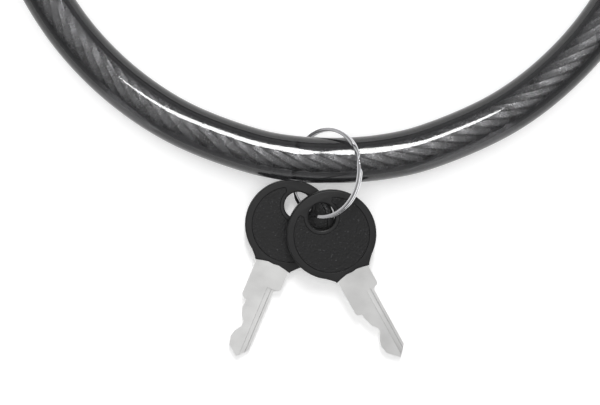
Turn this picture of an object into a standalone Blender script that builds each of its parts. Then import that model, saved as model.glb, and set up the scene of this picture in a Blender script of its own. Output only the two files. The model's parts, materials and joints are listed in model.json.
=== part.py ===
"""Bicycle cable lock: an in-line key lock, a sleeved cable closed into a loop, a split ring and two keys.

Metres, +Z up. The origin is on the table under the middle of the lock housing's foot. X runs along the lock
barrel towards the plug, +Y points out of the keyhole and away from the loop. Sizes below are in millimetres.
"""

import math

import bmesh
import bpy
from mathutils import Matrix, Vector

MM = 0.001
STEPS = 32
GAP = 0.3

# Lock housing, measured from the barrel's own axis
AXIS_HEIGHT = 12.3
BARREL_RADIUS = 11.3
BARREL_HALF = 26.0
JACKET_RADIUS = 13.4
JACKET_BORE = 11.5
JACKET_HALF = 26.2
COLLAR_START = 26.5
COLLAR_END = 28.9
COLLAR_LIFT = 0.4
FIXED_BOOT_END = 42.0
PLUG_BOOT_END = 44.0
BOOT_RADII = (9.8, 7.4)

# Key cylinder, whose axis runs along Y at this X
CYLINDER_X = -3.0
STATOR_RADIUS = 6.8
STATOR_BORE = 5.3
ROTOR_RADIUS = 5.2
ROTOR_FACE = 12.0
KEYWAY = (2.2, 6.3)
KEYWAY_END = -4.2
WAFER_COUNT = 5
WAFER_FIRST = 8.4
WAFER_PITCH = 2.4
WAFER_THICKNESS = 1.0
SPRING_X = 2.95
DRIVE_THROW = 1.3
DRIVE_RADIUS = 1.1
DRIVE_OFFSET = DRIVE_THROW * math.sqrt(0.5)
WINDOW_RADIUS = 8.0
BEZEL_BORE = 6.95
RETAINER_Y = 4.0
FERRULE_PIN_PLACE = (-19.0, 5.2)
COVER_PIVOT_X = CYLINDER_X + 11.6
COVER_FACE = 14.2
COVER_TOP = 15.8

# Latch plate and its pocket
POCKET_TOP = -7.0
COVER_SEAT = -9.2
LATCH_TOP = -4.25
LATCH_X = (13.9, 16.3)
COVER_SCREWS_X = (-11.6, 20.0)

# Plug and socket
PIN_RADIUS = 4.0
PIN_TIP = 10.0
PIN_GROOVE = (13.4, 16.8)
GROOVE_RADIUS = 2.2
SOCKET_RADIUS = 4.35
SOCKET_END = 8.8
FLANGE = (29.2, 31.4)
FLANGE_RADIUS = 10.5
CRIMP_RADIUS = 5.6
CRIMP_END = 37.4

# Cable
CABLE_RADIUS = 6.0
CORE_RADIUS = 2.4
CORE_CLEARANCE = 0.15
CORE_ENDS = (-14.3, 32.9)
SLEEVE_ENDS = (-29.3, 37.7)
CABLE_POINTS = 76
# The free route between the boots: down the left side, round the lowest bend and up the right side.
ROUTE = (
    (-42.0, 0.0, 12.3),
    (-56.5, -1.9, 12.0),
    (-70.0, -7.5, 11.0),
    (-81.6, -16.4, 9.6),
    (-90.5, -28.0, 8.2),
    (-96.1, -41.5, 7.1),
    (-98.0, -56.0, 6.4),
    (-97.9, -72.4, 6.15),
    (-93.8, -104.6, 6.1),
    (-81.3, -134.7, 6.1),
    (-61.5, -160.5, 6.1),
    (-43.5, -174.3, 6.2),
    (-22.5, -183.0, 6.8),
    (0.0, -186.0, 8.2),
    (11.4, -185.3, 8.6),
    (22.5, -183.0, 8.15),
    (33.3, -179.4, 7.7),
    (43.5, -174.3, 7.3),
    (61.5, -160.5, 6.4),
    (73.4, -145.7, 6.1),
    (81.8, -128.8, 6.1),
    (91.4, -93.1, 6.1),
    (94.6, -56.3, 6.7),
    (92.8, -41.7, 7.4),
    (87.6, -28.2, 8.5),
    (79.2, -16.5, 9.8),
    (68.3, -7.5, 11.1),
    (56.0, -1.9, 12.0),
    (44.0, 0.0, 12.3),
)

# Split ring and keys, laid out on the cable's lowest bend in a frame turned with the cable
BEND_CENTRE = (0.0, -99.0)
BEND_RADIUS = 87.0
GROUP_TURN = math.radians(13.85)
RING_CENTRE = (-1.9, -3.3, 8.65)
RING_RADIUS = 11.5
RING_SECTION = (0.95, 0.6)
RING_PITCH = 0.66
RING_TILT = math.radians(41.3)
RING_HEADING = math.radians(-7.6)
RING_JOG = (50.0, 76.0)
RING_STEP = 8.0
RING_OVERLAP = 3.0
RING_PIVOT_HEIGHT = 8.4
HEAD_RADIUS = 11.85
HEAD_THICKNESS = 2.7
KEY_HOLE_RADIUS = 3.6
HOLE_TO_CENTRE = 5.5
BLADE_THICKNESS = 1.9
TANG = (7.0, 1.5)
BLADE_START = 10.4
BLADE_SLACK = 0.08
TANG_SLACK = 0.15
GROOVE_START = 17.6
GROOVE_DEPTH = 0.3
STEP_DEPTH = 0.55
# Each key: its hole's centre, its heading, how far its tip dips and how far its groove side dips
KEYS = {
    "key_1": ((-3.0, -14.6, 7.6), math.radians(28.8), math.radians(8.5), math.radians(1.5)),
    "key_2": ((-9.2, -11.7, 3.95), math.radians(-22.9), math.radians(3.6), math.radians(5.0)),
}
# Bitting outlines from the shoulder to the tip, as (across, along) from the head's centre
BITTINGS = {
    "key_1": (
        (-3.1, 23.4), (-2.3, 26.5), (-1.0, 28.2), (-1.1, 29.2), (-2.1, 30.9), (-2.7, 32.7), (-2.3, 35.0),
    ),
    "key_2": (
        (-3.1, 25.2), (-2.5, 26.9), (-1.4, 28.4), (-1.4, 29.9), (-2.6, 31.7), (-3.0, 33.4), (-2.5, 35.6),
    ),
}

BARREL = Matrix.Translation((0.0, 0.0, AXIS_HEIGHT))
ALONG_Z = Matrix.Rotation(math.radians(-90), 4, "Y")


def material(name, colour, metallic, roughness):
    made = bpy.data.materials.new(name)
    made.use_nodes = True
    shader = made.node_tree.nodes["Principled BSDF"]
    shader.inputs["Base Color"].default_value = (*colour, 1.0)
    shader.inputs["Metallic"].default_value = metallic
    shader.inputs["Roughness"].default_value = roughness
    return made


def finished(bm, name, look, place=None):
    """A named object from a bmesh, both still in millimetres."""
    bmesh.ops.recalc_face_normals(bm, faces=bm.faces)
    bm.transform(place or Matrix())
    mesh = bpy.data.meshes.new(name)
    bm.to_mesh(mesh)
    bm.free()
    if look:
        mesh.materials.append(look)
    mesh.shade_smooth()
    mesh.set_sharp_from_angle(angle=math.radians(35))
    made = bpy.data.objects.new(name, mesh)
    bpy.context.scene.collection.objects.link(made)
    return made


def bridge(bm, first, second):
    """Faces between two loops with the same number of points."""
    count = len(first)
    for i in range(count):
        j = (i + 1) % count
        bm.faces.new((first[i], first[j], second[j], second[i]))


def turned(name, profile, look, place=BARREL, ring=False, steps=STEPS):
    """A solid turned about its local X from (along, radius) points; a ring's profile closes on itself."""
    bm = bmesh.new()
    turns = [2 * math.pi * (i + 0.5) / steps for i in range(steps)]
    loops = [
        [bm.verts.new((along, radius * math.cos(a), radius * math.sin(a))) for a in turns]
        for along, radius in profile
    ]
    for first, second in zip(loops, loops[1:]):
        bridge(bm, first, second)
    if ring:
        bridge(bm, loops[-1], loops[0])
    else:
        bm.faces.new(loops[0])
        bm.faces.new(loops[-1])
    return finished(bm, name, look, place)


def rod(name, start, end, radius, look=None, place=BARREL, steps=STEPS):
    return turned(name, ((start, radius), (end, radius)), look, place, steps=steps)


def block(name, x, y, z, look=None, place=BARREL):
    bm = bmesh.new()
    size = Matrix.Diagonal((x[1] - x[0], y[1] - y[0], z[1] - z[0], 1.0))
    middle = Matrix.Translation((sum(x) / 2, sum(y) / 2, sum(z) / 2))
    bmesh.ops.create_cube(bm, size=1.0, matrix=middle @ size)
    return finished(bm, name, look, place)


def prism(name, outline, low, high, look=None, place=BARREL):
    """An outline in local XY, extruded along local Z."""
    bm = bmesh.new()
    face = bm.faces.new([bm.verts.new((x, y, low)) for x, y in outline])
    grown = bmesh.ops.extrude_face_region(bm, geom=[face])
    raised = [v for v in grown["geom"] if isinstance(v, bmesh.types.BMVert)]
    bmesh.ops.translate(bm, vec=(0.0, 0.0, high - low), verts=raised)
    return finished(bm, name, look, place)


def combine(target, tool, operation="DIFFERENCE"):
    """Cuts the tool from the target, or joins it, and removes the tool."""
    step = target.modifiers.new(operation.lower(), "BOOLEAN")
    step.operation = operation
    step.object = tool
    graph = bpy.context.evaluated_depsgraph_get()
    mesh = bpy.data.meshes.new_from_object(target.evaluated_get(graph))
    target.modifiers.clear()
    target.data = mesh
    bpy.data.objects.remove(tool, do_unlink=True)


def join(target, tool):
    combine(target, tool, "UNION")


def pivot_at(made, point):
    """Moves an object's origin onto its joint's axis, given in millimetres."""
    centre = Vector(point)
    made.data.transform(Matrix.Translation(-centre))
    made.location = centre


def arc(centre, radius, start, end, count):
    """Points on an arc in a plane, from start to end in degrees."""
    turns = [math.radians(start + (end - start) * i / (count - 1)) for i in range(count)]
    return [(centre[0] + radius * math.cos(a), centre[1] + radius * math.sin(a)) for a in turns]


def across_y(x, z=0.0):
    """A frame whose local X runs along +Y, at this X and this height from the barrel's axis."""
    return BARREL @ Matrix.Translation((x, 0.0, z)) @ Matrix.Rotation(math.radians(90), 4, "Z")


def across_z(x, y):
    """A frame whose local X runs along +Z, at this X and Y."""
    return BARREL @ Matrix.Translation((x, y, 0.0)) @ ALONG_Z


def housing_jacket(look):
    jacket = rod("housing_jacket", -JACKET_HALF, JACKET_HALF, JACKET_RADIUS, look, steps=48)
    join(jacket, rod("pad", 2.0, 13.6, 10.0, place=across_y(CYLINDER_X)))
    join(jacket, rod("post", 9.0, 13.95, 2.8, place=across_y(COVER_PIVOT_X)))
    combine(jacket, rod("bore", -30.0, 30.0, JACKET_BORE, steps=48))
    combine(jacket, rod("window", 5.0, 15.0, WINDOW_RADIUS, place=across_y(CYLINDER_X)))
    combine(jacket, rod("screw_hole", 11.8, 15.0, 1.0, place=across_y(COVER_PIVOT_X), steps=16))
    combine(jacket, block("foot", (-40, 40), (-20, 20), (-30, -AXIS_HEIGHT)))


def end_collar(name, start, end, inner, look):
    profile = ((start, inner), (start, JACKET_RADIUS), (end, JACKET_RADIUS), (end, inner))
    collar = turned(name, profile, look, ring=True)
    combine(collar, block("foot", (-40, 40), (-20, 20), (-30, COLLAR_LIFT - AXIS_HEIGHT)))


def boot(name, start, end, look):
    """A tapered sleeve over the cable where it meets the lock; start is the end at the lock."""
    wide, narrow = BOOT_RADII
    waist = start + 0.35 * (end - start)
    inner = CABLE_RADIUS + GAP
    profile = ((start, inner), (start, wide), (waist, wide - 0.3), (end, narrow), (end, inner))
    return turned(name, profile, look, ring=True)


def lock_barrel(look):
    barrel = rod("lock_barrel", -BARREL_HALF, BARREL_HALF, BARREL_RADIUS, look)
    combine(barrel, rod("bore", POCKET_TOP - 0.1, 14.0, STATOR_RADIUS + 0.1, place=across_y(CYLINDER_X)))
    combine(barrel, block("pocket", (-6.9, 16.7), (COVER_SEAT - 0.1, POCKET_TOP), (-5.9, 4.2)))
    combine(barrel, block("tab_slot", (13.5, 16.7), (POCKET_TOP - 0.1, 2.8), (-5.9, -2.1)))
    combine(barrel, block("cover_seat", (-14.4, 23.2), (-14.0, COVER_SEAT), (-9.0, 9.0)))
    combine(barrel, rod("socket", SOCKET_END, 30.0, SOCKET_RADIUS))
    combine(barrel, rod("seal_seat", 23.0, 30.0, 7.0))
    combine(barrel, rod("ferrule_bore", -30.0, -12.3, 6.0))
    combine(barrel, rod("pin_hole", -14.0, 14.0, 1.3, place=across_z(*FERRULE_PIN_PLACE), steps=16))
    retainer = across_z(CYLINDER_X + STATOR_RADIUS, RETAINER_Y)
    combine(barrel, rod("retainer_hole", -4.2, 14.0, 0.95, place=retainer, steps=16))
    for x in COVER_SCREWS_X:
        combine(barrel, rod("screw_hole", -14.0, -6.5, 0.85, place=across_y(x), steps=16))


def latch_cover(look, screw_look):
    cover = rod("latch_cover", -14.2, 23.0, BARREL_RADIUS, look)
    combine(cover, block("rest", (-20, 30), (COVER_SEAT - 0.1, 20), (-20, 20)))
    for number, x in enumerate(COVER_SCREWS_X, start=1):
        combine(cover, rod("shank_hole", -14.0, -8.0, 0.95, place=across_y(x), steps=16))
        combine(cover, rod("head_hole", -14.0, -10.0, 1.8, place=across_y(x), steps=16))
        profile = ((-11.05, 1.6), (-10.1, 1.6), (-10.1, 0.75), (-6.7, 0.75))
        screw = turned(f"cover_screw_{number}", profile, screw_look, across_y(x), steps=16)
        combine(screw, block("drive", (x - 0.25, x + 0.25), (-12.0, -10.6), (-2.0, 2.0)))


def cylinder_stator(look):
    profile = (
        (-5.0, STATOR_BORE),
        (-5.0, STATOR_RADIUS),
        (12.3, STATOR_RADIUS),
        (12.3, 6.0),
        (10.7, 6.0),
        (10.7, STATOR_BORE),
    )
    stator = turned("cylinder_stator", profile, look, across_y(CYLINDER_X), ring=True)
    # Four broached grooves take the wafers' ends at both stops of the quarter turn.
    for wide, high in ((2.6, 5.75), (5.75, 2.6)):
        around = (CYLINDER_X - wide, CYLINDER_X + wide)
        combine(stator, block("groove", around, (-6.0, 9.9), (-high, high)))
    retainer = across_z(CYLINDER_X + STATOR_RADIUS, RETAINER_Y)
    combine(stator, rod("retainer_seat", -14.0, 14.0, 0.95, place=retainer, steps=16))


def cylinder_rotor(look):
    profile = (
        (-6.7, ROTOR_RADIUS),
        (-5.95, ROTOR_RADIUS),
        (-5.95, 4.4),
        (-5.25, 4.4),
        (-5.25, ROTOR_RADIUS),
        (10.9, ROTOR_RADIUS),
        (10.9, 5.85),
        (ROTOR_FACE, 5.85),
    )
    rotor = turned("cylinder_rotor", profile, look, across_y(CYLINDER_X))
    wide, high = KEYWAY[0] / 2, KEYWAY[1] / 2
    middle = (CYLINDER_X - wide, CYLINDER_X + wide)
    combine(rotor, block("keyway", middle, (KEYWAY_END, 15.0), (-high, high)))
    drive = across_y(CYLINDER_X + DRIVE_OFFSET, -DRIVE_OFFSET)
    join(rotor, rod("drive_pin", -8.9, -6.0, DRIVE_RADIUS, place=drive, steps=16))
    for y, side in wafer_places():
        slot = (y - WAFER_THICKNESS / 2 - 0.15, y + WAFER_THICKNESS / 2 + 0.15)
        combine(rotor, block("slot", (CYLINDER_X - 2.35, CYLINDER_X + 2.35), slot, (-6.0, 6.0)))
        combine(rotor, sided_block("spring_slot", (2.2, 3.8), slot, (-1.2, 4.4), side))
    return rotor


def wafer_places():
    """Where each wafer lies along the cylinder, and which way it springs out."""
    return [(WAFER_FIRST - WAFER_PITCH * i, 1 if i % 2 == 0 else -1) for i in range(WAFER_COUNT)]


def sided_block(name, x, y, z, side, look=None):
    """A block beside the cylinder's axis, or the same block turned half round that axis."""
    x = sorted(CYLINDER_X + side * value for value in x)
    z = sorted(side * value for value in z)
    return block(name, x, y, z, look)


def wafers(look, spring_look):
    half = WAFER_THICKNESS / 2
    for number, (y, side) in enumerate(wafer_places(), start=1):
        thick = (y - half, y + half)
        wafer = sided_block(f"wafer_{number}", (-2.2, 2.2), thick, (-4.3, 4.6), side, look)
        join(wafer, sided_block("ear", (2.0, 3.3), thick, (2.2, 3.2), side))
        combine(wafer, sided_block("window", (-1.3, 1.3), (y - 1, y + 1), (-3.3, 3.4), side))
        pivot_at(wafer, (CYLINDER_X, y, AXIS_HEIGHT))
        wafer_spring(f"wafer_spring_{number}", y, side, spring_look)


def wafer_spring(name, y, side, look):
    """A small compression spring between the rotor and the wafer's ear."""
    turns, coil, wire, sides, per_turn = 4, 0.43, 0.12, 5, 8
    low, high = -0.95, 1.95
    bm = bmesh.new()
    loops = []
    for i in range(turns * per_turn + 1):
        turn = 2 * math.pi * i / per_turn
        outward = Vector((math.cos(turn), math.sin(turn), 0.0))
        centre = outward * coil + Vector((0.0, 0.0, low + (high - low) * i / (turns * per_turn)))
        around = [2 * math.pi * k / sides for k in range(sides)]
        section = [outward * math.cos(a) + Vector((0.0, 0.0, math.sin(a))) for a in around]
        loops.append([bm.verts.new(centre + wire * point) for point in section])
    for first, second in zip(loops, loops[1:]):
        bridge(bm, first, second)
    bm.faces.new(loops[0])
    bm.faces.new(loops[-1])
    turn_over = Matrix.Rotation(0.0 if side > 0 else math.pi, 4, "Y")
    wafer_middle = BARREL @ Matrix.Translation((CYLINDER_X, y, 0.0))
    place = wafer_middle @ turn_over @ Matrix.Translation((SPRING_X, 0.0, 0.0))
    return finished(bm, name, look, place)


def rotor_clip(look):
    profile = ((-5.8, 4.5), (-5.8, 6.3), (-5.4, 6.3), (-5.4, 4.5))
    clip = turned("rotor_clip", profile, look, across_y(CYLINDER_X), ring=True)
    combine(clip, block("gap", (CYLINDER_X - 2.0, CYLINDER_X + 2.0), (-7, -4), (0.0, 9.0)))
    return clip


def keyhole_bezel(look):
    profile = ((11.6, BEZEL_BORE), (11.6, 7.85), (13.3, 7.85), (13.9, 7.3), (13.9, BEZEL_BORE))
    turned("keyhole_bezel", profile, look, across_y(CYLINDER_X), ring=True)


def dust_cover(look, screw_look):
    """A teardrop plate over the keyhole, swinging on a shoulder screw."""
    reach = COVER_PIVOT_X - CYLINDER_X
    disc, ear = 8.3, 2.8
    lean = math.degrees(math.acos((disc - ear) / reach))
    outline = arc((-reach, 0.0), disc, lean, 360 - lean, 25) + arc((0.0, 0.0), ear, -lean, lean, 9)
    # Local XY is the plate's own plane: local X along X, local Z along -Y.
    pivot = BARREL @ Matrix.Translation((COVER_PIVOT_X, 0.0, 0.0))
    plate_frame = pivot @ Matrix.Rotation(math.radians(90), 4, "X")
    plate = prism("dust_cover", outline, -COVER_TOP, -COVER_FACE, look, plate_frame)
    join(plate, block("thumb", (CYLINDER_X - 8.0, CYLINDER_X - 6.4), (15.0, 16.8), (-3.0, 3.0)))
    combine(plate, rod("hole", 10.0, 20.0, 1.3, place=across_y(COVER_PIVOT_X), steps=16))
    pivot_at(plate, (COVER_PIVOT_X, COVER_FACE, AXIS_HEIGHT))
    profile = ((12.0, 0.85), (14.15, 0.85), (14.15, 1.1), (16.1, 1.1), (16.1, 2.2), (17.0, 1.7))
    turned("dust_cover_screw", profile, screw_look, across_y(COVER_PIVOT_X), steps=20)


def latch_plate(look):
    plate = block("latch_plate", (-6.4, LATCH_X[1]), (-9.0, POCKET_TOP - GAP), (-5.6, 2.2), look)
    join(plate, block("tab", LATCH_X, (-8.0, 2.5), (-5.6, LATCH_TOP)))
    slot_x = (
        CYLINDER_X + DRIVE_OFFSET - DRIVE_RADIUS - GAP,
        CYLINDER_X + DRIVE_THROW + DRIVE_RADIUS + GAP,
    )
    slot_z = (-DRIVE_OFFSET - DRIVE_RADIUS - GAP / 2, -DRIVE_OFFSET + DRIVE_RADIUS + GAP / 2)
    combine(plate, block("slot", slot_x, (-10.0, -6.0), slot_z))
    pivot_at(plate, (0.0, -8.0, AXIS_HEIGHT))


def fixed_end(steel, pin_look):
    groove = (-20.4, -17.6)
    hole = CORE_RADIUS + CORE_CLEARANCE
    profile = (
        (-14.0, hole),
        (-25.8, hole),
        (-25.8, 5.85),
        (groove[0], 5.85),
        (groove[0], 3.9),
        (groove[1], 3.9),
        (groove[1], 5.85),
        (-12.6, 5.85),
    )
    turned("fixed_ferrule", profile, steel)
    rod("ferrule_pin", -9.0, 9.0, 1.15, pin_look, across_z(*FERRULE_PIN_PLACE), steps=16)
    rod("stator_pin", -4.0, 9.5, 0.8, pin_look, across_z(CYLINDER_X + STATOR_RADIUS, RETAINER_Y), steps=16)


def plug(steel):
    hole = CORE_RADIUS + CORE_CLEARANCE
    profile = (
        (PIN_TIP, 2.4),
        (PIN_TIP + 1.5, PIN_RADIUS),
        (PIN_GROOVE[0], PIN_RADIUS),
        (PIN_GROOVE[0], GROOVE_RADIUS),
        (PIN_GROOVE[1], GROOVE_RADIUS),
        (PIN_GROOVE[1], PIN_RADIUS),
        (FLANGE[0], PIN_RADIUS),
        (FLANGE[0], FLANGE_RADIUS),
        (FLANGE[1], FLANGE_RADIUS),
        (FLANGE[1], CRIMP_RADIUS),
        (CRIMP_END, CRIMP_RADIUS),
        (CRIMP_END, hole),
        (CORE_ENDS[1] + 0.2, hole),
    )
    return turned("plug_pin", profile, steel)


def socket_seal(look):
    profile = ((23.3, 4.5), (23.3, 6.85), (25.7, 6.85), (25.7, 4.5))
    turned("socket_seal", profile, look, ring=True)


def loop_points(start, end):
    """Evenly spaced points on one smooth curve through the route, straight where it enters the lock."""
    knots = [Vector((start, 0.0, AXIS_HEIGHT)), *map(Vector, ROUTE), Vector((end, 0.0, AXIS_HEIGHT))]
    fine = [knots[0]]
    for i in range(len(knots) - 1):
        before = knots[max(i - 1, 0)]
        after = knots[min(i + 2, len(knots) - 1)]
        fine += [smooth_between(before, knots[i], knots[i + 1], after, k / 40) for k in range(1, 41)]
    return evenly(fine, CABLE_POINTS)


def smooth_between(before, start, end, after, t):
    """A point between two knots on a centripetal Catmull-Rom curve."""
    spans = [max((b - a).length, 1.0) ** 0.5 for a, b in ((before, start), (start, end), (end, after))]
    leave = (start - before) / spans[0] - (end - before) / (spans[0] + spans[1]) + (end - start) / spans[1]
    arrive = (end - start) / spans[1] - (after - start) / (spans[1] + spans[2]) + (after - end) / spans[2]
    leave, arrive = leave * spans[1], arrive * spans[1]
    return (
        start * (2 * t**3 - 3 * t**2 + 1)
        + leave * (t**3 - 2 * t**2 + t)
        + end * (3 * t**2 - 2 * t**3)
        + arrive * (t**3 - t**2)
    )


def evenly(points, count):
    lengths = [0.0]
    for a, b in zip(points, points[1:]):
        lengths.append(lengths[-1] + (b - a).length)
    spaced, i = [], 0
    for k in range(count):
        wanted = lengths[-1] * k / (count - 1)
        while i < len(points) - 2 and lengths[i + 1] < wanted:
            i += 1
        span = lengths[i + 1] - lengths[i]
        spaced.append(points[i].lerp(points[i + 1], (wanted - lengths[i]) / span))
    return spaced


def tube(name, points, radius, look, resolution=3):
    """A round tube along the points, as a curve with a bevel and filled caps."""
    curve = bpy.data.curves.new(name, "CURVE")
    curve.dimensions = "3D"
    curve.bevel_depth = radius
    curve.bevel_resolution = resolution
    curve.use_fill_caps = True
    spline = curve.splines.new("POLY")
    spline.points.add(len(points) - 1)
    for target, point in zip(spline.points, points):
        target.co = (*point, 1.0)
    if look:
        curve.materials.append(look)
    made = bpy.data.objects.new(name, curve)
    bpy.context.scene.collection.objects.link(made)
    return made


def cable(sleeve_look, core_look):
    core_path = loop_points(*CORE_ENDS)
    tube("cable_core", core_path, CORE_RADIUS, core_look, resolution=2)
    sleeve_path = loop_points(*SLEEVE_ENDS)
    curve = tube("sleeve_curve", sleeve_path, CABLE_RADIUS, sleeve_look, resolution=4)
    channel = tube("channel_curve", core_path, CORE_RADIUS + CORE_CLEARANCE, None, resolution=2)
    sleeve, cutter = as_mesh(curve, "cable_sleeve"), as_mesh(channel, "channel")
    combine(sleeve, cutter)


def as_mesh(curve, name):
    graph = bpy.context.evaluated_depsgraph_get()
    mesh = bpy.data.meshes.new_from_object(curve.evaluated_get(graph))
    bm = bmesh.new()
    bm.from_mesh(mesh)
    bmesh.ops.remove_doubles(bm, verts=bm.verts, dist=0.001)
    bmesh.ops.recalc_face_normals(bm, faces=bm.faces)
    bm.to_mesh(mesh)
    bm.free()
    made = bpy.data.objects.new(name, mesh)
    bpy.context.scene.collection.objects.link(made)
    bpy.data.objects.remove(curve, do_unlink=True)
    return made


def group_frame():
    """The frame of the ring and keys: its origin is under the cable, its X runs along the cable there."""
    outward = Vector((math.sin(GROUP_TURN), -math.cos(GROUP_TURN), 0.0))
    bottom = Vector((*BEND_CENTRE, 0.0)) + BEND_RADIUS * outward
    return Matrix.Translation(bottom) @ Matrix.Rotation(GROUP_TURN, 4, "Z")


def ring_frame():
    """Local X and Y span the ring's plane: Y up the cable's radius, X rising to the right."""
    place = Matrix.Translation(RING_CENTRE) @ Matrix.Rotation(RING_HEADING, 4, "Z")
    return group_frame() @ place @ Matrix.Rotation(-RING_TILT, 4, "Y")


def split_ring(look):
    """Flat wire wound twice round, changing from the lower turn to the upper one across a short jog."""
    jog_start, jog_end = RING_JOG
    wide, thick = RING_SECTION
    total = 720.0 - (jog_end - jog_start) - 2 * RING_OVERLAP
    count = round(total / RING_STEP)
    bm = bmesh.new()
    loops = []
    for i in range(count + 1):
        turned_by = total * i / count
        angle = jog_end + RING_OVERLAP + turned_by
        rise = (turned_by - (360.0 - (jog_end - jog_start) - RING_OVERLAP)) / (jog_end - jog_start)
        rise = min(max(rise, 0.0), 1.0)
        layer = RING_PITCH * (rise * rise * (3 - 2 * rise) - 0.5)
        a = math.radians(90.0 - angle)
        outward = Vector((math.cos(a), math.sin(a), 0.0))
        section = ((-wide, -thick), (wide, -thick), (wide, thick), (-wide, thick))
        points = [outward * (RING_RADIUS + u / 2) + Vector((0.0, 0.0, layer + w / 2)) for u, w in section]
        loops.append([bm.verts.new(point) for point in points])
    for first, second in zip(loops, loops[1:]):
        bridge(bm, first, second)
    bm.faces.new(loops[0])
    bm.faces.new(loops[-1])
    ring = finished(bm, "split_ring", look, ring_frame())
    pivot_at(ring, ring_pivot())


def ring_pivot():
    """The point on the cable's centre line that the ring hangs round."""
    return tuple(group_frame() @ Vector((RING_CENTRE[0], 0.0, RING_PIVOT_HEIGHT)))


def key_frame(name):
    """Local origin at the hole's centre, local -Y towards the tip, local +X towards the groove side."""
    centre, heading, dip, roll = KEYS[name]
    turn = Matrix.Rotation(heading, 4, "Z") @ Matrix.Rotation(dip, 4, "X") @ Matrix.Rotation(roll, 4, "Y")
    return group_frame() @ Matrix.Translation(centre) @ turn


def key_outline(points):
    """Outline points given as (across, along) from the head's centre, in the key's own frame."""
    return [(across, -along - HOLE_TO_CENTRE) for across, along in points]


def key_head(name, look):
    """A round plastic bow with square corners where it grips the blade."""
    half = HEAD_THICKNESS / 2
    bow = arc((0.0, 0.0), HEAD_RADIUS, 55, -235, 37)
    corner = ((-5.2, 11.4), (-4.9, 11.95), (-3.1, 11.5), (-1.5, 11.2), (0.0, 11.35))
    corner += tuple((-across, along) for across, along in reversed(corner[:-1]))
    head = prism(f"{name}_head", key_outline(bow + list(corner)), -half, half, look, key_frame(name))
    combine(head, rod("hole", -5.0, 5.0, KEY_HOLE_RADIUS, place=key_frame(name) @ ALONG_Z, steps=24))
    wide, thick = TANG[0] / 2 + TANG_SLACK, TANG[1] / 2 + TANG_SLACK
    slot = (-HOLE_TO_CENTRE - 14.0, -HOLE_TO_CENTRE - 3.7)
    combine(head, block("tang_slot", (-wide, wide), slot, (-thick, thick), place=key_frame(name)))
    # The wide shoulders of the blade sit between the bow's two lips.
    mouth = (-HOLE_TO_CENTRE - 14.0, -HOLE_TO_CENTRE - BLADE_START + TANG_SLACK)
    lips = BLADE_THICKNESS / 2 + BLADE_SLACK
    combine(head, block("shoulder_slot", (-7.0, 7.0), mouth, (-lips, lips), place=key_frame(name)))
    pivot_at(head, tuple(key_frame(name).translation))


def key_blade(name, look):
    half = BLADE_THICKNESS / 2
    wing = (4.55, BLADE_START)
    shoulder = (wing, (4.55, 17.1), (4.2, 17.5), (2.95, 18.2), (2.95, 35.2), (2.1, 36.2), (0.4, 37.9))
    back = ((-3.0, 22.75), (-3.6, 22.6), (-4.35, 22.15), (-4.55, 21.6), (-wing[0], wing[1]))
    outline = key_outline(list(shoulder) + list(reversed(BITTINGS[name])) + list(back))
    place = key_frame(name)
    blade = prism(f"{name}_blade", outline, -half, half, look, place)
    wide, thick = TANG[0] / 2, TANG[1] / 2
    tang = (-HOLE_TO_CENTRE - 12.6, -HOLE_TO_CENTRE - 4.0)
    join(blade, block("tang", (-wide, wide), tang, (-thick, thick), place=place))
    # A shallow groove and a stepped back edge are milled along the upper face.
    groove = (-HOLE_TO_CENTRE - 40.0, -HOLE_TO_CENTRE - GROOVE_START)
    combine(blade, block("groove", (1.0, 2.3), groove, (half - GROOVE_DEPTH, half + 1.0), place=place))
    combine(blade, block("step", (2.25, 4.0), groove, (half - STEP_DEPTH, half + 1.0), place=place))
    pivot_at(blade, tuple(key_frame(name).translation))


def to_metres():
    """Everything is modelled in millimetres, where Booleans are at their most exact, and scaled once."""
    for made in bpy.data.objects:
        made.data.transform(Matrix.Scale(MM, 4))
        made.location *= MM
        if made.type == "CURVE":
            made.data.bevel_depth *= MM


def build():
    for thing in list(bpy.data.objects):
        bpy.data.objects.remove(thing, do_unlink=True)
    black_plastic = material("black_plastic", (0.03, 0.03, 0.032), 0.0, 0.45)
    black_rubber = material("black_rubber", (0.02, 0.02, 0.02), 0.0, 0.75)
    smoky_pvc = material("smoky_pvc", (0.05, 0.05, 0.055), 0.0, 0.2)
    zinc = material("zinc", (0.52, 0.53, 0.55), 1.0, 0.45)
    steel = material("steel", (0.6, 0.6, 0.62), 1.0, 0.3)
    brass = material("brass", (0.72, 0.56, 0.28), 1.0, 0.35)
    nickel = material("nickel", (0.78, 0.77, 0.75), 1.0, 0.32)
    chrome = material("chrome", (0.8, 0.8, 0.82), 1.0, 0.12)

    housing_jacket(black_plastic)
    end_collar("fixed_collar", -COLLAR_END, -COLLAR_START, CORE_RADIUS + 0.4, black_plastic)
    end_collar("socket_collar", COLLAR_START, COLLAR_END, PIN_RADIUS + 0.65, black_plastic)
    boot("fixed_boot", -COLLAR_END - GAP, -FIXED_BOOT_END, black_rubber)
    lock_barrel(zinc)
    latch_cover(zinc, steel)
    fixed_end(steel, steel)
    socket_seal(black_rubber)
    keyhole_bezel(chrome)
    dust_cover(black_plastic, steel)

    cylinder_axis = (CYLINDER_X, 0.0, AXIS_HEIGHT)
    cylinder_stator(brass)
    pivot_at(cylinder_rotor(brass), cylinder_axis)
    pivot_at(rotor_clip(steel), cylinder_axis)
    wafers(brass, steel)
    latch_plate(steel)

    loop_pivot = ring_pivot()
    pivot_at(plug(steel), loop_pivot)
    pivot_at(boot("plug_boot", FLANGE[1] + GAP, PLUG_BOOT_END, black_rubber), loop_pivot)
    cable(smoky_pvc, steel)

    split_ring(chrome)
    for name in KEYS:
        key_head(name, black_plastic)
        key_blade(name, nickel)
    to_metres()


build()
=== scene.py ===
import json
import math

import bmesh
import bpy
from mathutils import Matrix, Vector

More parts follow.
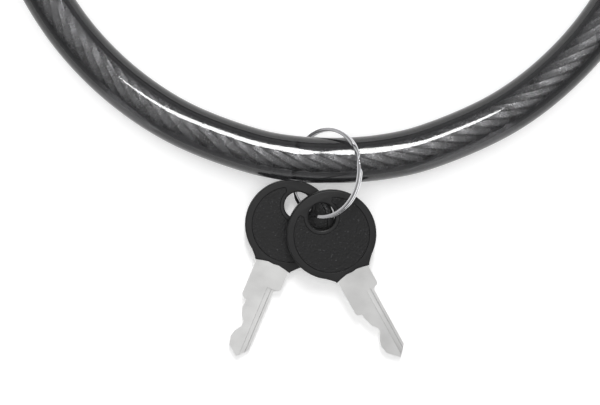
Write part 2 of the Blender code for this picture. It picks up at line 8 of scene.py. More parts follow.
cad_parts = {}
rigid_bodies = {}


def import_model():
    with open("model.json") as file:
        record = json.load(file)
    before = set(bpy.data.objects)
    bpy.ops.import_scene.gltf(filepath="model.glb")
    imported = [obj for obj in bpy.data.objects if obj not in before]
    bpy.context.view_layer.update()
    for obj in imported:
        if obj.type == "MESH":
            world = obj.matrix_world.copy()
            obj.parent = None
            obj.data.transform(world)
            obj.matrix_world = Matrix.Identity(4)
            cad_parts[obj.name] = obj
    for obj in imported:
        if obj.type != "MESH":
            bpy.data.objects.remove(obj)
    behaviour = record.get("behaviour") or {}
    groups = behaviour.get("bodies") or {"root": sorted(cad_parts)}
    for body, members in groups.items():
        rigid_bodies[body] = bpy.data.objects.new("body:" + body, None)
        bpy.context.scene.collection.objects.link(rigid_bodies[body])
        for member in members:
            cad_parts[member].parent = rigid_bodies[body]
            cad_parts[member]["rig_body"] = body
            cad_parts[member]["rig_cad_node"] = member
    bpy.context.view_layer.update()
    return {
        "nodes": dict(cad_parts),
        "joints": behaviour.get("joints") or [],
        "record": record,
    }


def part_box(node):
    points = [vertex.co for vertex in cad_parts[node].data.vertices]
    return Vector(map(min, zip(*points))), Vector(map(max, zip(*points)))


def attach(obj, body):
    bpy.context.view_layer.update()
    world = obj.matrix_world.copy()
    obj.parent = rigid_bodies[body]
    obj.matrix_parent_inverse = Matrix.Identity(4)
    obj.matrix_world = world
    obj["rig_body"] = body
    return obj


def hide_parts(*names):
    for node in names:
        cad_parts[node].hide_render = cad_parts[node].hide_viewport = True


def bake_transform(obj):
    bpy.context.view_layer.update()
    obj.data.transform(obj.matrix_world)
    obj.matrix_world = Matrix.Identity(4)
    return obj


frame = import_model()
mm = 0.001
jointAt = {joint["name"]: joint for joint in frame["joints"]}


# ---- small helpers, all in millimetres unless a name says otherwise ----

def pick(*pieces):
    bpy.ops.object.select_all(action="DESELECT")
    for piece in pieces:
        piece.select_set(True)
    bpy.context.view_layer.objects.active = pieces[0]


def applyAll(piece):
    pick(piece)
    for modifier in list(piece.modifiers):
        bpy.ops.object.modifier_apply(modifier=modifier.name)


def intoPlace(piece, place):
    # moves the mesh, given in millimetres, so that the object itself stays at the origin in metres
    piece.data.transform(Matrix.Scale(mm, 4) @ place)
    return piece


def smooth(piece, degrees=35):
    pick(piece)
    bpy.ops.object.shade_smooth_by_angle(angle=math.radians(degrees))
    return piece


def cleanMesh(piece, apart=0.0005):
    pick(piece)
    bpy.ops.object.mode_set(mode="EDIT")
    bpy.ops.mesh.select_all(action="SELECT")
    bpy.ops.mesh.remove_doubles(threshold=apart)
    bpy.ops.mesh.normals_make_consistent(inside=False)
    bpy.ops.object.mode_set(mode="OBJECT")


def toMesh(piece):
    pick(piece)
    bpy.ops.object.convert(target="MESH")
    return bpy.context.object


def lineCurve(name, runs, closed=False, flat=False):
    curve = bpy.data.curves.new(name, "CURVE")
    curve.dimensions = "2D" if flat else "3D"
    for points in runs:
        spline = curve.splines.new("POLY")
        spline.points.add(len(points) - 1)
        for target, point in zip(spline.points, points):
            target.co = (*point, 0.0, 1.0) if len(point) == 2 else (*point, 1.0)
        spline.use_cyclic_u = closed
    piece = bpy.data.objects.new(name, curve)
    bpy.context.scene.collection.objects.link(piece)
    return piece


def cutFrom(piece, cutter, operation="DIFFERENCE"):
    modifier = piece.modifiers.new("cut", "BOOLEAN")
    modifier.operation = operation
    modifier.object = cutter
    modifier.material_mode = "TRANSFER"
    applyAll(piece)
    bpy.data.objects.remove(cutter, do_unlink=True)


def arcPoints(centre, radius, start, end, count):
    turns = [math.radians(start + (end - start) * i / (count - 1)) for i in range(count)]
    return [(centre[0] + radius * math.cos(a), centre[1] + radius * math.sin(a)) for a in turns]


# ---- camera, floor and light ----

studio = {
    "cameraOver": (15.1, -196.2),
    "cameraHeight": 445.0,
    "turn": 13.85,            # degrees, so that the ring hangs straight down the view
    "lens": 100.0,
    "panelAway": 1500.0,      # the soft box that draws the white line along the cable
    "panelLean": 37.5,        # degrees from straight above
    "panelAside": 70.0,
    "panelSize": (210.0, 820.0),
    "panelGlow": 24.0,
    "fillHeight": 1400.0,     # a broad light for the table, which reflections don't show
    "fillSide": 2600.0,
    "fillGlow": 0.46,
    "tableGlow": 0.34,        # the table is lit from below as well, so that shadows stay pale
    "bendPoint": (20.8, -183.5),
    "floorColour": (0.86, 0.86, 0.86),
    "skyTop": 0.9,
    "skyMiddle": 0.12,
    "skyEdge": 0.7,
}


def buildCamera():
    x, y = studio["cameraOver"]
    place = (x * mm, y * mm, studio["cameraHeight"] * mm)
    bpy.ops.object.camera_add(location=place, rotation=(0.0, 0.0, math.radians(studio["turn"])))
    camera = bpy.context.object
    camera.data.lens = studio["lens"]
    camera.data.sensor_width = 36.0
    camera.data.clip_start = 0.01
    bpy.context.scene.camera = camera


def buildFloor():
    bpy.ops.mesh.primitive_plane_add(size=6.0, location=(0.0, 0.0, -0.00005))
    floor = bpy.context.object
    floor.name = "floor"
    paint = bpy.data.materials.new("paleFloor")
    paint.use_nodes = True
    shader = paint.node_tree.nodes["Principled BSDF"]
    shader.inputs["Base Color"].default_value = (*studio["floorColour"], 1.0)
    shader.inputs["Roughness"].default_value = 0.6
    shader.inputs["Emission Color"].default_value = (1.0, 1.0, 1.0, 1.0)
    shader.inputs["Emission Strength"].default_value = studio["tableGlow"]
    floor.data.materials.append(paint)


def buildLight():
    turn = math.radians(studio["turn"])
    lean = math.radians(studio["panelLean"])
    back = Vector((-math.sin(turn), math.cos(turn), 0.0))
    spot = Vector((*studio["bendPoint"], 0.0)) * mm
    aside = Vector((math.cos(turn), math.sin(turn), 0.0)) * studio["panelAside"] * mm
    towardsPanel = back * math.sin(lean) + Vector((0.0, 0.0, math.cos(lean)))
    panelPlace = spot + aside + towardsPanel * studio["panelAway"] * mm
    bpy.ops.object.light_add(type="AREA", location=panelPlace, rotation=(-lean, 0.0, turn))
    panel = bpy.context.object.data
    panel.shape = "ELLIPSE"
    panel.size, panel.size_y = (side * mm for side in studio["panelSize"])
    panel.energy = studio["panelGlow"] * math.pi * math.pi / 4 * panel.size * panel.size_y

    bpy.ops.object.light_add(type="AREA", location=spot + Vector((0.0, 0.0, studio["fillHeight"] * mm)))
    fill = bpy.context.object
    fill.data.shape = "SQUARE"
    fill.data.size = studio["fillSide"] * mm
    fill.data.energy = studio["fillGlow"] * math.pi * fill.data.size ** 2
    fill.visible_glossy = False

    world = bpy.data.worlds.new("studioSky")
    world.use_nodes = True
    bpy.context.scene.world = world
    nodes, links = world.node_tree.nodes, world.node_tree.links
    coordinate = nodes.new("ShaderNodeTexCoord")
    split = nodes.new("ShaderNodeSeparateXYZ")
    ramp = nodes.new("ShaderNodeValToRGB")
    links.new(coordinate.outputs["Generated"], split.inputs[0])
    links.new(split.outputs["Z"], ramp.inputs["Fac"])
    links.new(ramp.outputs["Color"], nodes["Background"].inputs["Color"])
    stops = (
        (0.0, studio["skyEdge"]),
        (0.35, studio["skyMiddle"]),
        (0.7, studio["skyMiddle"]),
        (0.95, studio["skyTop"]),
    )
    while len(ramp.color_ramp.elements) < len(stops):
        ramp.color_ramp.elements.new(0.5)
    for element, (height, glow) in zip(ramp.color_ramp.elements, stops):
        element.position = height
        element.color = (glow, glow, glow, 1.0)
    bpy.context.scene.view_settings.view_transform = "Standard"


buildCamera()
buildFloor()
buildLight()
print("stage: camera, floor and light are in place")


# ---- shared shader groups ----

def newGroup(name, inputs, outputs):
    group = bpy.data.node_groups.new(name, "ShaderNodeTree")
    for label, kind, value in inputs:
        socket = group.interface.new_socket(name=label, in_out="INPUT", socket_type=kind)
        socket.default_value = value
    for label, kind in outputs:
        group.interface.new_socket(name=label, in_out="OUTPUT", socket_type=kind)
    start = group.nodes.new("NodeGroupInput")
    end = group.nodes.new("NodeGroupOutput")
    return group, start, end


def objectCoordinates(tree, stretch=(1.0, 1.0, 1.0), turn=(0.0, 0.0, 0.0)):
    coordinate = tree.nodes.new("ShaderNodeTexCoord")
    mapping = tree.nodes.new("ShaderNodeMapping")
    mapping.inputs["Scale"].default_value = stretch
    mapping.inputs["Rotation"].default_value = [math.radians(angle) for angle in turn]
    tree.links.new(coordinate.outputs["Object"], mapping.inputs["Vector"])
    return mapping.outputs["Vector"]


def noise(tree, vector, scale, detail=3.0, rough=0.55):
    texture = tree.nodes.new("ShaderNodeTexNoise")
    texture.inputs["Scale"].default_value = scale
    texture.inputs["Detail"].default_value = detail
    texture.inputs["Roughness"].default_value = rough
    tree.links.new(vector, texture.inputs["Vector"])
    return texture


def spread(tree, value, low, high, fromLow=0.0, fromHigh=1.0):
    mapRange = tree.nodes.new("ShaderNodeMapRange")
    settings = {"From Min": fromLow, "From Max": fromHigh, "To Min": low, "To Max": high}
    for label, number in settings.items():
        mapRange.inputs[label].default_value = number
    tree.links.new(value, mapRange.inputs["Value"])
    return mapRange.outputs["Result"]


def buildHandlingGroup():
    # fine scratches in two directions and soft smudges, as one mask
    group, start, end = newGroup(
        "handlingMarks",
        [("Vector", "NodeSocketVector", (0.0, 0.0, 0.0)), ("Scratches", "NodeSocketFloat", 0.5)],
        [("Mask", "NodeSocketFloat"), ("Smudge", "NodeSocketFloat")],
    )
    links = group.links
    masks = []
    for turn in (20.0, -55.0):
        mapping = group.nodes.new("ShaderNodeMapping")
        mapping.inputs["Rotation"].default_value = (0.0, 0.0, math.radians(turn))
        mapping.inputs["Scale"].default_value = (60.0, 2400.0, 60.0)
        links.new(start.outputs["Vector"], mapping.inputs["Vector"])
        lines = noise(group, mapping.outputs["Vector"], 1.0, 2.0)
        masks.append(spread(group, lines.outputs["Fac"], 0.0, 1.0, 0.6, 0.74))
    most = group.nodes.new("ShaderNodeMath")
    most.operation = "MAXIMUM"
    scaled = group.nodes.new("ShaderNodeMath")
    scaled.operation = "MULTIPLY"
    links.new(masks[0], most.inputs[0])
    links.new(masks[1], most.inputs[1])
    links.new(most.outputs[0], scaled.inputs[0])
    links.new(start.outputs["Scratches"], scaled.inputs[1])
    links.new(scaled.outputs[0], end.inputs["Mask"])
    smudge = noise(group, start.outputs["Vector"], 160.0, 3.0)
    links.new(smudge.outputs["Fac"], end.inputs["Smudge"])
    return group


def buildGrainAndGlintGroup():
    # the pebbled surface that a spark-eroded mould leaves, with lighter specks on its tips that are painted
    # glints of the lamp
    group, start, end = newGroup(
        "mouldGrainAndGlint",
        [("Vector", "NodeSocketVector", (0.0, 0.0, 0.0)), ("Scale", "NodeSocketFloat", 2500.0)],
        [("Height", "NodeSocketFloat"), ("PaintedGlint", "NodeSocketFloat")],
    )
    links = group.links
    cells = group.nodes.new("ShaderNodeTexVoronoi")
    links.new(start.outputs["Vector"], cells.inputs["Vector"])
    links.new(start.outputs["Scale"], cells.inputs["Scale"])
    rough = group.nodes.new("ShaderNodeTexNoise")
    rough.inputs["Detail"].default_value = 4.0
    links.new(start.outputs["Vector"], rough.inputs["Vector"])
    links.new(start.outputs["Scale"], rough.inputs["Scale"])
    both = group.nodes.new("ShaderNodeMath")
    both.operation = "ADD"
    links.new(cells.outputs["Distance"], both.inputs[0])
    links.new(rough.outputs["Fac"], both.inputs[1])
    links.new(both.outputs[0], end.inputs["Height"])
    # the specks are a painted highlight: lamp glints on the grain tips, given as a mask for lighter colour
    links.new(spread(group, rough.outputs["Fac"], 0.0, 1.0, 0.62, 0.72), end.inputs["PaintedGlint"])
    return group


handlingMarks = buildHandlingGroup()
mouldGrainAndGlint = buildGrainAndGlintGroup()


# ---- materials ----

class Finish:
    # one material, its shader and short ways to wire it
    def __init__(self, name, colour, metallic, roughness):
        self.material = bpy.data.materials.new(name)
        self.material.use_nodes = True
        self.tree = self.material.node_tree
        self.shader = self.tree.nodes["Principled BSDF"]
        self.colour = (*colour, 1.0)
        self.shader.inputs["Base Color"].default_value = self.colour
        self.shader.inputs["Metallic"].default_value = metallic
        self.shader.inputs["Roughness"].default_value = roughness

    def link(self, output, label):
        self.tree.links.new(output, self.shader.inputs[label])

    def group(self, group, vector, **values):
        node = self.tree.nodes.new("ShaderNodeGroup")
        node.node_tree = group
        self.tree.links.new(vector, node.inputs["Vector"])
        for label, value in values.items():
            node.inputs[label].default_value = value
        return node

    def tint(self, mask, colour, base=None):
        mix = self.tree.nodes.new("ShaderNodeMix")
        mix.data_type = "RGBA"
        mix.inputs["A"].default_value = self.colour
        if base is not None:
            self.tree.links.new(base, mix.inputs["A"])
        mix.inputs["B"].default_value = (*colour, 1.0)
        self.tree.links.new(mask, mix.inputs["Factor"])
        self.link(mix.outputs["Result"], "Base Color")
        return mix.outputs["Result"]

    def bump(self, height, strength, distance):
        node = self.tree.nodes.new("ShaderNodeBump")
        node.inputs["Strength"].default_value = strength
        node.inputs["Distance"].default_value = distance
        self.tree.links.new(height, node.inputs["Height"])
        self.link(node.outputs["Normal"], "Normal")


def polishedMetal(name, colour, roughness, scratches, worn=0.08):
    made = Finish(name, colour, 1.0, roughness)
    vector = objectCoordinates(made.tree)
    marks = made.group(handlingMarks, vector, Scratches=scratches)
    rough = made.tree.nodes.new("ShaderNodeMath")
    rough.operation = "MULTIPLY_ADD"
    made.tree.links.new(marks.outputs["Mask"], rough.inputs[0])
    rough.inputs[1].default_value = worn
    smudged = spread(made.tree, marks.outputs["Smudge"], roughness * 0.8, roughness * 1.25, 0.3, 0.7)
    made.tree.links.new(smudged, rough.inputs[2])
    made.link(rough.outputs[0], "Roughness")
    made.tint(spread(made.tree, marks.outputs["Smudge"], 0.0, 0.35, 0.45, 0.75), [0.82 * c for c in colour])
    return made


def brushedMetal(name, colour, roughness, turn):
    # drawn or milled lines along one direction, turned in degrees about Z
    made = polishedMetal(name, colour, roughness, 0.6)
    lines = objectCoordinates(made.tree, (90.0, 5200.0, 90.0), (0.0, 0.0, turn))
    height = noise(made.tree, lines, 1.0, 2.0)
    made.bump(height.outputs["Fac"], 0.25, 0.00004)
    return made


def mouldedPlastic(
    name, colour, roughness, scale, strength, depth=0.00005, scratches=0.4, shine=0.5, paintedGlint=2.2
):
    made = Finish(name, colour, 0.0, roughness)
    vector = objectCoordinates(made.tree)
    grainAndGlint = made.group(mouldGrainAndGlint, vector, Scale=scale)
    marks = made.group(handlingMarks, vector, Scratches=scratches)
    made.shader.inputs["Specular IOR Level"].default_value = shine
    made.bump(grainAndGlint.outputs["Height"], strength, depth)
    smudged = spread(made.tree, marks.outputs["Smudge"], roughness * 0.85, roughness * 1.15, 0.3, 0.7)
    made.link(smudged, "Roughness")
    worn = made.tint(marks.outputs["Mask"], [3.0 * c for c in colour])
    # painted highlight: lighter specks of colour stand in for the lamp's glints on the grain tips
    made.tint(grainAndGlint.outputs["PaintedGlint"], [paintedGlint * c for c in colour], worn)
    return made


def softRubber(name, colour):
    made = Finish(name, colour, 0.0, 0.7)
    vector = objectCoordinates(made.tree)
    bloom = noise(made.tree, vector, 90.0, 5.0)
    fine = noise(made.tree, vector, 4200.0, 2.0)
    made.tint(spread(made.tree, bloom.outputs["Fac"], 0.0, 0.5, 0.45, 0.7), [2.2 * c for c in colour])
    made.link(spread(made.tree, bloom.outputs["Fac"], 0.6, 0.8), "Roughness")
    made.bump(fine.outputs["Fac"], 0.2, 0.00004)
    return made


def smokyVinyl(name):
    # clearest where it is looked at squarely, and dark along its edges where the way through is long
    made = Finish(name, (0.17, 0.17, 0.173), 0.0, 0.03)
    made.shader.inputs["Transmission Weight"].default_value = 1.0
    made.shader.inputs["IOR"].default_value = 1.5
    vector = objectCoordinates(made.tree)
    marks = made.group(handlingMarks, vector, Scratches=0.3)
    made.link(spread(made.tree, marks.outputs["Mask"], 0.03, 0.09), "Roughness")
    facing = made.tree.nodes.new("ShaderNodeLayerWeight")
    made.tint(spread(made.tree, facing.outputs["Facing"], 0.0, 1.0, 0.07, 0.17), (0.014, 0.014, 0.015))
    ray = made.tree.nodes.new("ShaderNodeLightPath")
    made.link(spread(made.tree, ray.outputs["Is Shadow Ray"], 1.0, 0.15), "Alpha")   # lamps reach the rope
    return made


def ropeWire(name):
    made = Finish(name, (0.6, 0.6, 0.61), 0.75, 0.28)
    vector = objectCoordinates(made.tree)
    cloud = noise(made.tree, vector, 260.0, 4.0)
    fine = noise(made.tree, vector, 1900.0, 2.0)
    oiled = made.tint(spread(made.tree, cloud.outputs["Fac"], 0.0, 0.9, 0.5, 0.68), (0.28, 0.28, 0.285))
    made.tint(spread(made.tree, fine.outputs["Fac"], 0.0, 0.8, 0.55, 0.68), (1.0, 1.0, 1.0), oiled)
    made.link(spread(made.tree, cloud.outputs["Fac"], 0.2, 0.36, 0.35, 0.7), "Roughness")
    return made


finishes = {
    "smoky_pvc": smokyVinyl("smokyVinyl"),
    "rope": ropeWire("ropeWire"),
    "black_plastic": mouldedPlastic("housingPlastic", (0.022, 0.022, 0.024), 0.46, 1900.0, 0.25),
    "key_plastic": mouldedPlastic("bowSmooth", (0.009, 0.009, 0.0095), 0.45, 2600.0, 0.1, scratches=0.05),
    # the grained panels of the bows carry the strongest painted glints
    "key_grain": mouldedPlastic(
        "bowGrainAndGlint", (0.009, 0.009, 0.0095), 0.36, 1900.0, 0.6,
        depth=0.00011, scratches=0.05, shine=0.4, paintedGlint=6.0,
    ),
    "black_rubber": softRubber("bootRubber", (0.02, 0.02, 0.02)),
    "zinc": polishedMetal("castZinc", (0.5, 0.51, 0.53), 0.45, 0.3),
    "steel": polishedMetal("plainSteel", (0.56, 0.56, 0.58), 0.3, 0.6),
    "brass": polishedMetal("turnedBrass", (0.72, 0.55, 0.26), 0.3, 0.5),
    "nickel": brushedMetal("satinNickel", (0.88, 0.878, 0.87), 0.42, 0.0),
    "chrome": polishedMetal("brightChrome", (0.82, 0.82, 0.84), 0.09, 0.5, 0.15),
}


def dress(piece, finish):
    piece.data.materials.clear()
    piece.data.materials.append(finishes[finish].material)


slotOf = {part["node"]: part["material_slot"] for part in frame["record"]["subparts"]}
for nodeName, nodePiece in frame["nodes"].items():
    dress(nodePiece, slotOf[nodeName])
print("stage: finishes are on the CAD nodes")


# ---- the cable: one refractive sleeve with a laid wire rope inside ----

cable = {
    "radius": 6.0,
    "sides": 64,
    "sleeveEnds": (-29.3, 37.7),
    "ropeEnds": (-14.3, 32.9),
    "step": 1.6,
    "strands": 6,
    "strandRadius": 0.71,
    "wires": 11,
    "strandLay": 29.4,        # length of one turn of a strand round the rope
    "wireLay": 24.0,          # length of one turn of a wire in its strand, the other way
    "wireStep": 0.8,
    "bendFrom": -14.5,        # the stretch of X over which the cable takes up the hinge's turn
    "bendTo": 32.5,
    "height": 12.3,
}

route = (
    (-42.0, 0.0, 12.3), (-56.5, -1.9, 12.0), (-70.0, -7.5, 11.0), (-81.6, -16.4, 9.6),
    (-90.5, -28.0, 8.2), (-96.1, -41.5, 7.1), (-98.0, -56.0, 6.4), (-97.9, -72.4, 6.15),
    (-93.8, -104.6, 6.1), (-81.3, -134.7, 6.1), (-61.5, -160.5, 6.1), (-43.5, -174.3, 6.2),
    (-22.5, -183.0, 6.8), (0.0, -186.0, 8.2), (11.4, -185.3, 8.6), (22.5, -183.0, 8.15),
    (33.3, -179.4, 7.7), (43.5, -174.3, 7.3), (61.5, -160.5, 6.4), (73.4, -145.7, 6.1),
    (81.8, -128.8, 6.1), (91.4, -93.1, 6.1), (94.6, -56.3, 6.7), (92.8, -41.7, 7.4),
    (87.6, -28.2, 8.5), (79.2, -16.5, 9.8), (68.3, -7.5, 11.1), (56.0, -1.9, 12.0), (44.0, 0.0, 12.3),
)


def betweenKnots(before, start, end, after, t):
    # centripetal Catmull-Rom, the same curve as the CAD tube's
    spans = [max((b - a).length, 1.0) ** 0.5 for a, b in ((before, start), (start, end), (end, after))]
    leave = (start - before) / spans[0] - (end - before) / (spans[0] + spans[1]) + (end - start) / spans[1]
    arrive = (end - start) / spans[1] - (after - start) / (spans[1] + spans[2]) + (after - end) / spans[2]
    leave, arrive = leave * spans[1], arrive * spans[1]
    return (
        start * (2 * t**3 - 3 * t**2 + 1) + leave * (t**3 - 2 * t**2 + t)
        + end * (3 * t**2 - 2 * t**3) + arrive * (t**3 - t**2)
    )


def cablePoints(start, end, step):
    knots = [Vector((start, 0.0, cable["height"])), *map(Vector, route), Vector((end, 0.0, cable["height"]))]
    fine = [knots[0]]
    for i in range(len(knots) - 1):
        before, after = knots[max(i - 1, 0)], knots[min(i + 2, len(knots) - 1)]
        fine += [betweenKnots(before, knots[i], knots[i + 1], after, k / 40) for k in range(1, 41)]
    lengths = [0.0]
    for a, b in zip(fine, fine[1:]):
        lengths.append(lengths[-1] + (b - a).length)
    count = round(lengths[-1] / step)
    spaced, i = [], 0
    for k in range(count + 1):
        wanted = lengths[-1] * k / count
        while i < len(fine) - 2 and lengths[i + 1] < wanted:
            i += 1
        spaced.append(fine[i].lerp(fine[i + 1], (wanted - lengths[i]) / (lengths[i + 1] - lengths[i])))
    return spaced


def crossFrames(points):
    # at each point, the direction to the left of travel and the one above
    frames = []
    for i in range(len(points)):
        ahead = (points[min(i + 1, len(points) - 1)] - points[max(i - 1, 0)]).normalized()
        left = Vector((0.0, 0.0, 1.0)).cross(ahead).normalized()
        frames.append((left, ahead.cross(left)))
    return frames


def buildSleeve():
    points = cablePoints(*cable["sleeveEnds"], cable["step"])
    sleeve = lineCurve("cable_sleeve_clear", [[tuple(p) for p in points]])
    sleeve.data.bevel_depth = cable["radius"]
    sleeve.data.bevel_resolution = cable["sides"] // 2 - 2
    sleeve.data.use_fill_caps = True
    sleeve = toMesh(sleeve)
    cleanMesh(sleeve)
    intoPlace(sleeve, Matrix())
    smooth(sleeve, 50)
    dress(sleeve, "smoky_pvc")
    return sleeve, [point * mm for point in points]


def wireRun(points, frames, strandTurn, wireTurn, wireOut):
    run = []
    for i, (point, (left, above)) in enumerate(zip(points, frames)):
        along = i * cable["wireStep"]
        round1 = strandTurn + 2 * math.pi * along / cable["strandLay"]
        outward = left * math.cos(round1) + above * math.sin(round1)
        sideways = above * math.cos(round1) - left * math.sin(round1)
        round2 = wireTurn - 2 * math.pi * along / cable["wireLay"]
        centre = point + outward * 2 * cable["strandRadius"]
        run.append(tuple(centre + wireOut * (outward * math.cos(round2) + sideways * math.sin(round2))))
    return run


def buildStrands():
    points = cablePoints(*cable["ropeEnds"], cable["wireStep"])
    frames = crossFrames(points)
    share = math.sin(math.pi / cable["wires"])
    wireRadius = cable["strandRadius"] * share / (1 + share)
    wireOut = cable["strandRadius"] - wireRadius
    strands = []
    for number in range(cable["strands"]):
        strandTurn = 2 * math.pi * number / cable["strands"]
        runs = [
            wireRun(points, frames, strandTurn, 2 * math.pi * k / cable["wires"], wireOut)
            for k in range(cable["wires"])
        ]
        strand = lineCurve(f"rope_strand_{number + 1}", runs)
        strand.data.bevel_depth = wireRadius * 1.02
        strand.data.bevel_resolution = 1
        strand.data.use_fill_caps = True
        strand = toMesh(strand)
        strand.data.shade_smooth()
        intoPlace(strand, Matrix())
        dress(strand, "rope")
        strands.append(strand)
    return strands


sleeve, sleevePath = buildSleeve()
strands = buildStrands()
for piece in [sleeve, *strands]:
    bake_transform(piece)
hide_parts("cable_sleeve")
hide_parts("cable_core")


# ---- the split ring: flat wire wound twice, with one jog ----

ring = {
    "centre": (-1.9, -3.3, 8.65),
    "radius": 11.5,
    "section": (0.95, 0.6),
    "corner": 0.13,
    "pitch": 0.66,
    "tilt": 41.3,
    "heading": -7.6,
    "jog": (50.0, 76.0),
    "overlap": 3.0,
    "step": 2.0,
    "bendCentre": (0.0, -99.0),
    "bendRadius": 87.0,
}


def groupFrame():
    # under the cable where the ring hangs, X along the cable
    turn = math.radians(studio["turn"])
    outward = Vector((math.sin(turn), -math.cos(turn), 0.0))
    place = Vector((*ring["bendCentre"], 0.0)) + ring["bendRadius"] * outward
    return Matrix.Translation(place) @ Matrix.Rotation(turn, 4, "Z")


def wireSection():
    wide, thick = (side / 2 for side in ring["section"])
    corner = ring["corner"]
    points = []
    for start, x, y in ((0, 1, 1), (90, -1, 1), (180, -1, -1), (270, 1, -1)):
        centre = (x * (wide - corner), y * (thick - corner))
        points += arcPoints(centre, corner, start, start + 90, 4)
    return points


def buildRing():
    jogStart, jogEnd = ring["jog"]
    jogSpan = jogEnd - jogStart
    total = 720.0 - jogSpan - 2 * ring["overlap"]
    count = round(total / ring["step"])
    section = wireSection()
    bm = bmesh.new()
    loops = []
    for i in range(count + 1):
        turned = total * i / count
        angle = math.radians(90.0 - (jogEnd + ring["overlap"] + turned))
        rise = (turned - (360.0 - jogSpan - ring["overlap"])) / jogSpan
        rise = min(max(rise, 0.0), 1.0)
        layer = ring["pitch"] * (rise * rise * (3 - 2 * rise) - 0.5)
        taper = min(1.0, 0.55 + min(turned, total - turned) / 4.0)   # the filed ends
        outward = Vector((math.cos(angle), math.sin(angle), 0.0))
        loops.append([
            bm.verts.new(outward * (ring["radius"] + u * taper) + Vector((0.0, 0.0, layer + w * taper)))
            for u, w in section
        ])
    for first, second in zip(loops, loops[1:]):
        for k in range(len(section)):
            j = (k + 1) % len(section)
            bm.faces.new((first[k], first[j], second[j], second[k]))
    bm.faces.new(loops[0])
    bm.faces.new(loops[-1])
    bmesh.ops.recalc_face_normals(bm, faces=bm.faces)
    mesh = bpy.data.meshes.new("split_ring_polished")
    bm.to_mesh(mesh)
    bm.free()
    piece = bpy.data.objects.new("split_ring_polished", mesh)
    bpy.context.scene.collection.objects.link(piece)
    place = Matrix.Translation(ring["centre"]) @ Matrix.Rotation(math.radians(ring["heading"]), 4, "Z")
    place = groupFrame() @ place @ Matrix.Rotation(-math.radians(ring["tilt"]), 4, "Y")
    intoPlace(piece, place)
    smooth(piece, 60)
    dress(piece, "chrome")
    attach(piece, "key_ring")
    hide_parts("split_ring")
    return piece


buildRing()
print("stage: the ring is wound")


# ---- keys: grained round bows and milled blades ----

key = {
    "bowRadius": 11.85,
    "thickness": 2.7,
    "edge": 0.42,
    "holeRadius": 3.6,
    "holeToCentre": 5.5,
    "panelRadius": 10.1,
    "panelDepth": 0.22,
    "padRadius": 4.6,
    "grooveRadius": 0.17,
    "bladeTop": 0.95,
    "slot": (10.25, 1.03),    # where the bow's two lips begin and half the gap between them
    "mouth": (14.0, 4.0),     # across and along, larger than the bow's foot
    "cutterDepth": 2.0,
    "cutterEdge": 0.12,
    "grooveLift": 0.02,
    "turns": {"key_1": (28.8, 8.5, 1.5), "key_2": (-22.9, 3.6, 5.0)},   # heading, dip and roll in degrees
    "milled": ((1.02, 17.7, 0.09, 0.0), (2.3, 17.7, 0.22, 0.3)),   # across, start, radius, depth
    "lineLength": 30.0,
}


def keyFrame(name):
    heading, dip, roll = (math.radians(angle) for angle in key["turns"][name])
    turn = Matrix.Rotation(math.radians(studio["turn"]) + heading, 4, "Z")
    turn = turn @ Matrix.Rotation(dip, 4, "X") @ Matrix.Rotation(roll, 4, "Y")
    centre = Vector(jointAt[f"{name}_swing"]["pos_m"]) / mm
    return Matrix.Translation(centre) @ turn


def bowOutline():
    # about the bow's centre, with +Y towards the ring; the square shoulders grip the blade
    rim = arcPoints((0.0, 0.0), key["bowRadius"], -55, 235, 97)
    foot = [(-5.2, -11.4), (-4.9, -11.95), (-3.1, -11.5), (-1.5, -11.2), (0.0, -11.35)]
    return rim + foot + [(-x, y) for x, y in reversed(foot[:-1])]


def panelOutline():
    centre = (0.0, key["holeToCentre"])
    outer = arcPoints((0.0, 0.0), key["panelRadius"], 58, -238, 81)
    inner = arcPoints(centre, key["padRadius"], 152, 388, 49)
    leftTip = [(-4.8, 8.7), (-4.3, 8.1)]
    return outer + leftTip + inner + [(-x, y) for x, y in reversed(leftTip)]


def lowered(points):
    # from the bow's centre to the key's own origin, the middle of its hole
    return [(x, y - key["holeToCentre"]) for x, y in points]


def plate(name, outlines, thickness, edge):
    piece = lineCurve(name, outlines, closed=True, flat=True)
    piece.data.fill_mode = "BOTH"
    piece.data.extrude = thickness / 2 - edge
    piece.data.bevel_depth = edge
    piece.data.bevel_resolution = 3
    piece.data.offset = -edge
    piece = toMesh(piece)
    cleanMesh(piece)
    return piece


def buildBow(name):
    hole = arcPoints((0.0, 0.0), key["holeRadius"], 0, 352.5, 48)
    bow = plate(f"{name}_bow", [lowered(bowOutline()), list(reversed(hole))], key["thickness"], key["edge"])
    dress(bow, "key_plastic")
    outline = lowered(panelOutline())
    for side in (1, -1):
        level = side * (key["thickness"] / 2 - key["panelDepth"])
        panel = plate("panelCutter", [outline], key["cutterDepth"], key["cutterEdge"])
        panel.data.transform(Matrix.Translation((0.0, 0.0, level + side * key["cutterDepth"] / 2)))
        dress(panel, "key_grain")
        cutFrom(bow, panel)
        grooveLevel = level + side * key["grooveLift"]
        groove = lineCurve("grooveCutter", [[(x, y, grooveLevel) for x, y in outline]], closed=True)
        groove.data.bevel_depth = key["grooveRadius"]
        groove.data.bevel_resolution = 2
        groove = toMesh(groove)
        cleanMesh(groove)
        dress(groove, "key_plastic")
        cutFrom(bow, groove)
    start, gap = key["slot"]
    across, along = key["mouth"]
    bpy.ops.mesh.primitive_cube_add(size=1.0)
    mouth = bpy.context.object
    middle = Matrix.Translation((0.0, -key["holeToCentre"] - start - along / 2, 0.0))
    mouth.data.transform(middle @ Matrix.Diagonal((across, along, 2 * gap, 1.0)))
    dress(mouth, "key_plastic")
    cutFrom(bow, mouth)
    intoPlace(bow, keyFrame(name))
    smooth(bow, 30)
    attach(bow, name)
    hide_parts(f"{name}_head")


